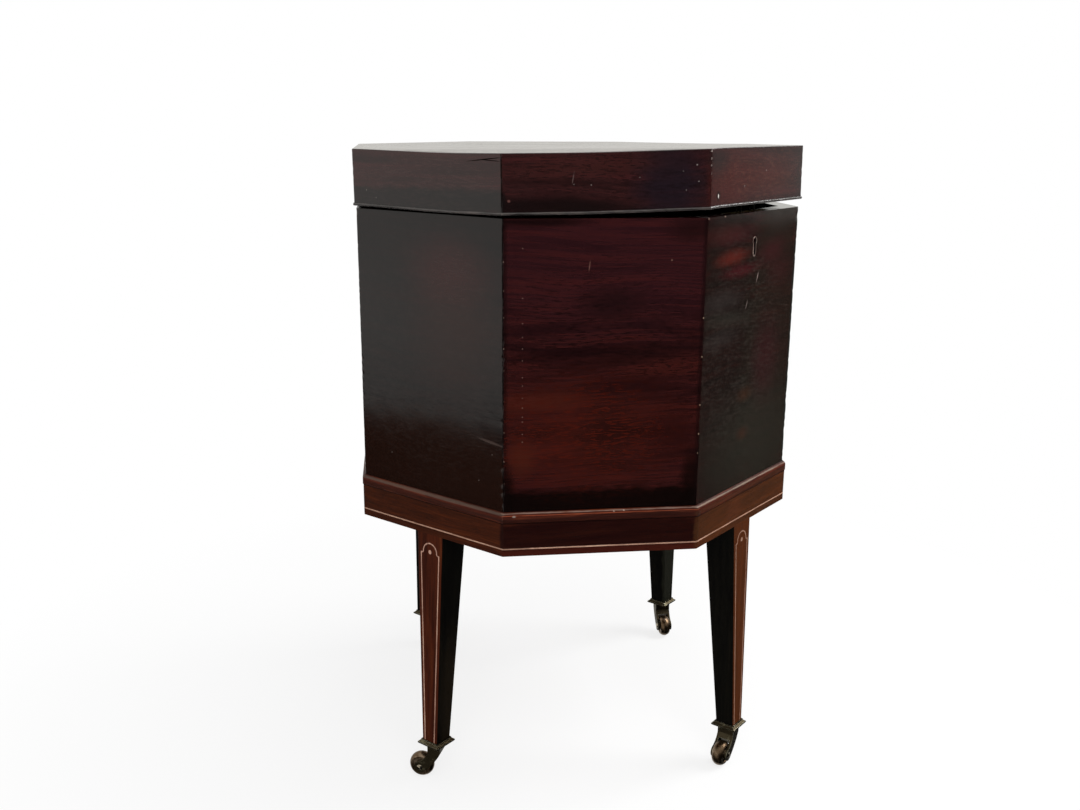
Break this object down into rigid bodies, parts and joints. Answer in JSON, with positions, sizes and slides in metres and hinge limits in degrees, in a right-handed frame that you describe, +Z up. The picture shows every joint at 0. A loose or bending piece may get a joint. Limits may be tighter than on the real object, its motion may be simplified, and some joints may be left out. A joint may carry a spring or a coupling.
{
  "type": "cellarette",
  "caption": "Octagonal mahogany cellarette: mitred case with hinged lid, lock and divided bottle space, on a strung stand with tapered legs and brass swivel castors.",
  "frame": {"origin": "on the floor under the middle of the octagon, at the bottom centre of the object's box", "axes": "+Z up; -Y is the lock side, +Y the hinge side, +X to the right of someone who faces the lock"},
  "size_m": [0.4876, 0.4838, 0.6634],
  "materials": {
    "case_mahogany": "old mahogany, french polished, darkened with age",
    "lid_mahogany": "old mahogany, french polished, darkened with age",
    "stand_mahogany": "mahogany veneer, polished",
    "leg_mahogany": "mahogany, polished",
    "boxwood": "boxwood stringing under old polish",
    "pine": "bare deal, sawn and planed",
    "oak": "bare oak, planed",
    "divider_wood": "thin stained boards",
    "zinc_sheet": "dull folded zinc sheet",
    "cabinet_brass": "old brass, dulled",
    "castor_brass": "cast brass with a dark brown skin",
    "wheel_brass": "turned brass with a dark brown skin, worn bright",
    "brass_screws": "small brass screws",
    "steel_screws": "old iron screws",
    "spring_steel": "blued spring"
  },
  "bodies": {
    "cabinet": {"bottle_dividers_cross": "divider_wood", "bottle_dividers_long": "divider_wood", "case_bottom_board": "oak", "case_fixing_screws": "steel_screws", "case_side_back": "case_mahogany", "case_side_front": "case_mahogany", "case_side_left": "case_mahogany", "case_side_right": "case_mahogany", "case_sides_back_diagonal": "case_mahogany", "case_sides_front_diagonal": "case_mahogany", "castor_plates": "castor_brass", "castor_screws": "steel_screws", "hinge_case_screws": "brass_screws", "hinge_left_case_leaf": "cabinet_brass", "hinge_pins": "cabinet_brass", "hinge_right_case_leaf": "cabinet_brass", "keyhole_escutcheon": "cabinet_brass", "leg_back": "leg_mahogany", "leg_front": "leg_mahogany", "leg_inlay": "boxwood", "leg_left": "leg_mahogany", "leg_right": "leg_mahogany", "lock_bolt_spring": "spring_steel", "lock_cap": "cabinet_brass", "lock_case": "cabinet_brass", "lock_screws": "brass_screws", "stand_corner_blocks": "pine", "stand_rail_back": "stand_mahogany", "stand_rail_front": "stand_mahogany", "stand_rails_diagonal": "stand_mahogany", "stand_rails_left_right": "stand_mahogany", "stand_stringing": "boxwood", "stand_top_moulding": "stand_mahogany", "zinc_liner": "zinc_sheet"},
    "castor_back_swivel": {"castor_back_axle": "castor_brass", "castor_back_horn": "castor_brass"},
    "castor_back_wheel": {"castor_back_wheel": "wheel_brass"},
    "castor_front_swivel": {"castor_front_axle": "castor_brass", "castor_front_horn": "castor_brass"},
    "castor_front_wheel": {"castor_front_wheel": "wheel_brass"},
    "castor_left_swivel": {"castor_left_axle": "castor_brass", "castor_left_horn": "castor_brass"},
    "castor_left_wheel": {"castor_left_wheel": "wheel_brass"},
    "castor_right_swivel": {"castor_right_axle": "castor_brass", "castor_right_horn": "castor_brass"},
    "castor_right_wheel": {"castor_right_wheel": "wheel_brass"},
    "lid": {"hinge_left_lid_leaf": "cabinet_brass", "hinge_lid_screws": "brass_screws", "hinge_right_lid_leaf": "cabinet_brass", "lid_cock_beads": "lid_mahogany", "lid_glue_blocks": "pine", "lid_rail_back": "lid_mahogany", "lid_rail_front": "lid_mahogany", "lid_rails_diagonal": "lid_mahogany", "lid_rails_left_right": "lid_mahogany", "lid_top_board": "lid_mahogany", "link_plate": "cabinet_brass", "link_plate_screws": "brass_screws"},
    "lock_bolt": {"lock_bolt": "cabinet_brass"}
  },
  "joints": [
    {"name": "lid_hinge", "type": "hinge", "parent": "cabinet", "child": "lid", "pos_m": [0, 0.2333, 0.60115], "axis": [-1, 0, 0], "range_deg": [-0.95, 94.05]},
    {"name": "lock_bolt_slide", "type": "slide", "parent": "cabinet", "child": "lock_bolt", "axis": [1, 0, 0], "range_m": [0, 0.006]},
    {"name": "castor_front_swivel", "type": "hinge", "parent": "cabinet", "child": "castor_front_swivel", "pos_m": [0, -0.22785, 0.0416], "axis": [0, 0, 1], "continuous": true},
    {"name": "castor_front_wheel", "type": "hinge", "parent": "castor_front_swivel", "child": "castor_front_wheel", "pos_m": [-0.01638, -0.22871, 0.0135], "axis": [0.0523, -0.9986, 0], "continuous": true},
    {"name": "castor_back_swivel", "type": "hinge", "parent": "cabinet", "child": "castor_back_swivel", "pos_m": [0, 0.22785, 0.0416], "axis": [0, 0, 1], "continuous": true},
    {"name": "castor_back_wheel", "type": "hinge", "parent": "castor_back_swivel", "child": "castor_back_wheel", "pos_m": [0.00561, 0.21244, 0.0135], "axis": [0.9397, 0.342, 0], "continuous": true},
    {"name": "castor_left_swivel", "type": "hinge", "parent": "cabinet", "child": "castor_left_swivel", "pos_m": [-0.22785, 0, 0.0416], "axis": [0, 0, 1], "continuous": true},
    {"name": "castor_left_wheel", "type": "hinge", "parent": "castor_left_swivel", "child": "castor_left_wheel", "pos_m": [-0.23452, 0.01498, 0.0135], "axis": [-0.9135, -0.4067, 0], "continuous": true},
    {"name": "castor_right_swivel", "type": "hinge", "parent": "cabinet", "child": "castor_right_swivel", "pos_m": [0.22785, 0, 0.0416], "axis": [0, 0, 1], "continuous": true},
    {"name": "castor_right_wheel", "type": "hinge", "parent": "castor_right_swivel", "child": "castor_right_wheel", "pos_m": [0.21646, -0.0118, 0.0135], "axis": [0.7193, -0.6947, 0], "continuous": true}
  ]
}
